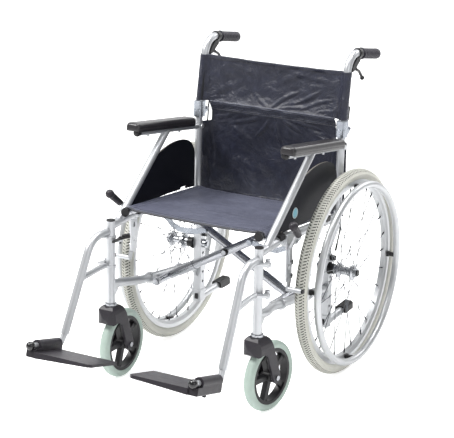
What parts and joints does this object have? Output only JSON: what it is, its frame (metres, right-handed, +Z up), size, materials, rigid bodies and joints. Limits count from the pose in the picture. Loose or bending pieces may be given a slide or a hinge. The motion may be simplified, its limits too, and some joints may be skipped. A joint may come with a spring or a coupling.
{
  "type": "folding self-propelled wheelchair",
  "caption": "Folding wheelchair with large spoked handrim wheels, small front castors, sling seat, half-folding back and swing-away footrests.",
  "frame": {"origin": "on the floor, midway between the rear wheels, directly below their axle", "axes": "+Z up, the chair faces -Y, +X is the occupant's left; the rear wheels turn about X"},
  "size_m": [0.666, 1.1155, 0.9273],
  "materials": {
    "frame_silver": "satin silver powder coat on tube",
    "black_plastic": "moulded black plastic",
    "arm_foam": "moulded polyurethane skin, dark brown-black",
    "panel_black": "fine-grained black sheet",
    "axle_black": "black collar, steel pin",
    "hub_metal": "turned aluminium",
    "rim_silver": "polished silver rim",
    "spoke_steel": "stainless wire",
    "rear_tyre_grey": "light grey rubber, moulded tread",
    "castor_tyre_grey": "pale grey-green solid rubber",
    "castor_black": "glass-filled nylon, charcoal",
    "hardware_steel": "zinc-plated steel",
    "foot_plastic": "textured charcoal plastic",
    "grip_rubber": "ribbed black grip",
    "upholstery": "charcoal-navy coated nylon"
  },
  "bodies": {
    "frame_left": {"side_frame_left": "frame_silver", "frame_plugs_left": "black_plastic", "arm_pad_left": "arm_foam", "side_panel_left": "panel_black", "axle_receiver_left": "axle_black", "parking_brake_base_left": "hardware_steel", "back_upholstery_lower": "upholstery"},
    "frame_right": {"side_frame_right": "frame_silver", "frame_plugs_right": "black_plastic", "arm_pad_right": "arm_foam", "side_panel_right": "panel_black", "axle_receiver_right": "axle_black", "parking_brake_base_right": "hardware_steel"},
    "cross_rear": {"cross_tube_rear": "frame_silver"},
    "cross_front": {"cross_tube_front": "frame_silver", "cross_pivot_bolt": "hardware_steel"},
    "seat": {"seat_upholstery": "upholstery"},
    "stay_left": {"stay_link_left": "frame_silver"},
    "stay_right": {"stay_link_right": "frame_silver"},
    "wheel_left": {"rear_hub_left": "hub_metal", "rear_rim_left": "rim_silver", "rear_spokes_left": "spoke_steel", "rear_tyre_left": "rear_tyre_grey", "handrim_left": "rim_silver", "handrim_spacers_left": "black_plastic"},
    "castor_fork_left": {"castor_fork_left": "castor_black", "castor_hardware_left": "hardware_steel"},
    "castor_wheel_left": {"castor_wheel_left": "castor_black", "castor_tyre_left": "castor_tyre_grey"},
    "hanger_left": {"hanger_left": "frame_silver"},
    "hanger_latch_left": {"hanger_latch_left": "black_plastic"},
    "footplate_left": {"footplate_left": "foot_plastic"},
    "brake_lever_left": {"parking_brake_lever_left": "hardware_steel"},
    "brake_shoe_left": {"parking_brake_shoe_left": "hardware_steel"},
    "back_left": {"upper_cane_left": "frame_silver", "push_grip_left": "grip_rubber", "attendant_brake_mount_left": "black_plastic", "back_upholstery_upper": "upholstery"},
    "attendant_lever_left": {"attendant_brake_lever_left": "black_plastic"},
    "back_release_left": {"back_release_lever_left": "black_plastic"},
    "wheel_right": {"rear_hub_right": "hub_metal", "rear_rim_right": "rim_silver", "rear_spokes_right": "spoke_steel", "rear_tyre_right": "rear_tyre_grey", "handrim_right": "rim_silver", "handrim_spacers_right": "black_plastic"},
    "castor_fork_right": {"castor_fork_right": "castor_black", "castor_hardware_right": "hardware_steel"},
    "castor_wheel_right": {"castor_wheel_right": "castor_black", "castor_tyre_right": "castor_tyre_grey"},
    "hanger_right": {"hanger_right": "frame_silver"},
    "hanger_latch_right": {"hanger_latch_right": "black_plastic"},
    "footplate_right": {"footplate_right": "foot_plastic"},
    "brake_lever_right": {"parking_brake_lever_right": "hardware_steel"},
    "brake_shoe_right": {"parking_brake_shoe_right": "hardware_steel"},
    "back_right": {"upper_cane_right": "frame_silver", "push_grip_right": "grip_rubber", "attendant_brake_mount_right": "black_plastic"},
    "attendant_lever_right": {"attendant_brake_lever_right": "black_plastic"},
    "back_release_right": {"back_release_lever_right": "black_plastic"}
  },
  "joints": [
    {"name": "fold", "type": "hinge", "parent": "frame_left", "child": "cross_rear", "pos_m": [0.19, -0.19, 0.26], "axis": [0, 1, 0], "range_deg": [0, 50], "deforming": ["seat_upholstery", "back_upholstery_lower", "back_upholstery_upper"]},
    {"name": "cross_scissor", "type": "hinge", "parent": "cross_rear", "child": "cross_front", "pos_m": [0, -0.186, 0.365], "axis": [0, 1, 0], "range_deg": [-104, 4]},
    {"name": "frame_level", "type": "hinge", "parent": "cross_front", "child": "frame_right", "pos_m": [-0.19, -0.19, 0.26], "axis": [0, 1, 0], "range_deg": [-4, 54]},
    {"name": "seat_level", "type": "hinge", "parent": "cross_front", "child": "seat", "pos_m": [0.213, -0.2, 0.4817], "axis": [0, 1, 0], "range_deg": [-4, 54]},
    {"name": "stay_left_pivot", "type": "hinge", "parent": "frame_left", "child": "stay_left", "pos_m": [0.222, -0.214, 0.4343], "axis": [0, 1, 0], "range_deg": [-4, 80.7]},
    {"name": "stay_right_pivot", "type": "hinge", "parent": "frame_right", "child": "stay_right", "pos_m": [-0.222, -0.186, 0.4343], "axis": [0, 1, 0], "range_deg": [-80.7, 4]},
    {"name": "rear_wheel_left", "type": "hinge", "parent": "frame_left", "child": "wheel_left", "pos_m": [0.2835, 0, 0.3], "axis": [1, 0, 0], "continuous": true},
    {"name": "castor_swivel_left", "type": "hinge", "parent": "frame_left", "child": "castor_fork_left", "pos_m": [0.236, -0.442, 0.25], "axis": [0, 0, 1], "continuous": true},
    {"name": "castor_wheel_spin_left", "type": "hinge", "parent": "castor_fork_left", "child": "castor_wheel_left", "pos_m": [0.24374, -0.38694, 0.1], "axis": [0.9903, -0.1392, 0], "continuous": true},
    {"name": "hanger_swing_left", "type": "hinge", "parent": "frame_left", "child": "hanger_left", "pos_m": [0.258, -0.43, 0.4], "axis": [0, 0, 1], "range_deg": [0, 90]},
    {"name": "hanger_latch_left", "type": "hinge", "parent": "frame_left", "child": "hanger_latch_left", "pos_m": [0.216, -0.424, 0.425], "axis": [0, 0, -1], "range_deg": [0, 18]},
    {"name": "footplate_flip_left", "type": "hinge", "parent": "hanger_left", "child": "footplate_left", "pos_m": [0.252, -0.74, 0.20162], "axis": [0, 0.9697, -0.2444], "range_deg": [-6, 94]},
    {"name": "parking_brake_left", "type": "hinge", "parent": "frame_left", "child": "brake_lever_left", "pos_m": [0.2576, -0.3, 0.405], "axis": [1, 0, 0], "range_deg": [0, 38]},
    {"name": "brake_shoe_left", "type": "hinge", "parent": "frame_left", "child": "brake_shoe_left", "pos_m": [0.257, -0.3, 0.366], "axis": [1, 0, 0], "range_deg": [-1, 10]},
    {"name": "attendant_brake_left", "type": "hinge", "parent": "back_left", "child": "attendant_lever_left", "pos_m": [0.234, 0.095, 0.876], "axis": [1, 0, 0], "range_deg": [0, 18], "stiffness_Nm_per_rad": 0.5},
    {"name": "back_release_left", "type": "hinge", "parent": "back_left", "child": "back_release_left", "pos_m": [0.236, 0.062, 0.737], "axis": [-1, 0, 0], "range_deg": [0, 12], "stiffness_Nm_per_rad": 0.5},
    {"name": "rear_wheel_right", "type": "hinge", "parent": "frame_right", "child": "wheel_right", "pos_m": [-0.2835, 0, 0.3], "axis": [1, 0, 0], "continuous": true},
    {"name": "castor_swivel_right", "type": "hinge", "parent": "frame_right", "child": "castor_fork_right", "pos_m": [-0.236, -0.442, 0.25], "axis": [0, 0, 1], "continuous": true},
    {"name": "castor_wheel_spin_right", "type": "hinge", "parent": "castor_fork_right", "child": "castor_wheel_right", "pos_m": [-0.236, -0.3864, 0.1], "axis": [1, 0, 0], "continuous": true},
    {"name": "hanger_swing_right", "type": "hinge", "parent": "frame_right", "child": "hanger_right", "pos_m": [-0.258, -0.43, 0.4], "axis": [0, 0, -1], "range_deg": [0, 90]},
    {"name": "hanger_latch_right", "type": "hinge", "parent": "frame_right", "child": "hanger_latch_right", "pos_m": [-0.216, -0.424, 0.425], "axis": [0, 0, 1], "range_deg": [0, 18]},
    {"name": "footplate_flip_right", "type": "hinge", "parent": "hanger_right", "child": "footplate_right", "pos_m": [-0.252, -0.74, 0.20162], "axis": [0, -0.9697, 0.2444], "range_deg": [-6, 94]},
    {"name": "parking_brake_right", "type": "hinge", "parent": "frame_right", "child": "brake_lever_right", "pos_m": [-0.2576, -0.3, 0.405], "axis": [1, 0, 0], "range_deg": [0, 38]},
    {"name": "brake_shoe_right", "type": "hinge", "parent": "frame_right", "child": "brake_shoe_right", "pos_m": [-0.257, -0.3, 0.366], "axis": [1, 0, 0], "range_deg": [-1, 10]},
    {"name": "attendant_brake_right", "type": "hinge", "parent": "back_right", "child": "attendant_lever_right", "pos_m": [-0.234, 0.095, 0.876], "axis": [1, 0, 0], "range_deg": [0, 18], "stiffness_Nm_per_rad": 0.5},
    {"name": "back_release_right", "type": "hinge", "parent": "back_right", "child": "back_release_right", "pos_m": [-0.236, 0.062, 0.737], "axis": [-1, 0, 0], "range_deg": [0, 12], "stiffness_Nm_per_rad": 0.5},
    {"name": "back_fold", "type": "hinge", "parent": "frame_left", "child": "back_left", "pos_m": [0.236, 0.056, 0.706], "axis": [-1, 0, 0], "range_deg": [0, 100]},
    {"name": "back_fold_right", "type": "hinge", "parent": "frame_right", "child": "back_right", "pos_m": [-0.236, 0.056, 0.706], "axis": [-1, 0, 0], "range_deg": [-3, 103]}
  ],
  "couplings": [
    {"joint": "cross_scissor", "follows": "fold", "ratio": -2},
    {"joint": "frame_level", "follows": "fold", "ratio": 1},
    {"joint": "seat_level", "follows": "fold", "ratio": 1},
    {"joint": "stay_left_pivot", "follows": "fold", "ratio": 1.534},
    {"joint": "stay_right_pivot", "follows": "fold", "ratio": -1.534},
    {"joint": "footplate_flip_left", "follows": "fold", "ratio": 1.76},
    {"joint": "brake_shoe_left", "follows": "parking_brake_left", "ratio": 0.218},
    {"joint": "footplate_flip_right", "follows": "fold", "ratio": 1.76},
    {"joint": "brake_shoe_right", "follows": "parking_brake_right", "ratio": 0.218},
    {"joint": "back_fold_right", "follows": "back_fold", "ratio": 1}
  ]
}
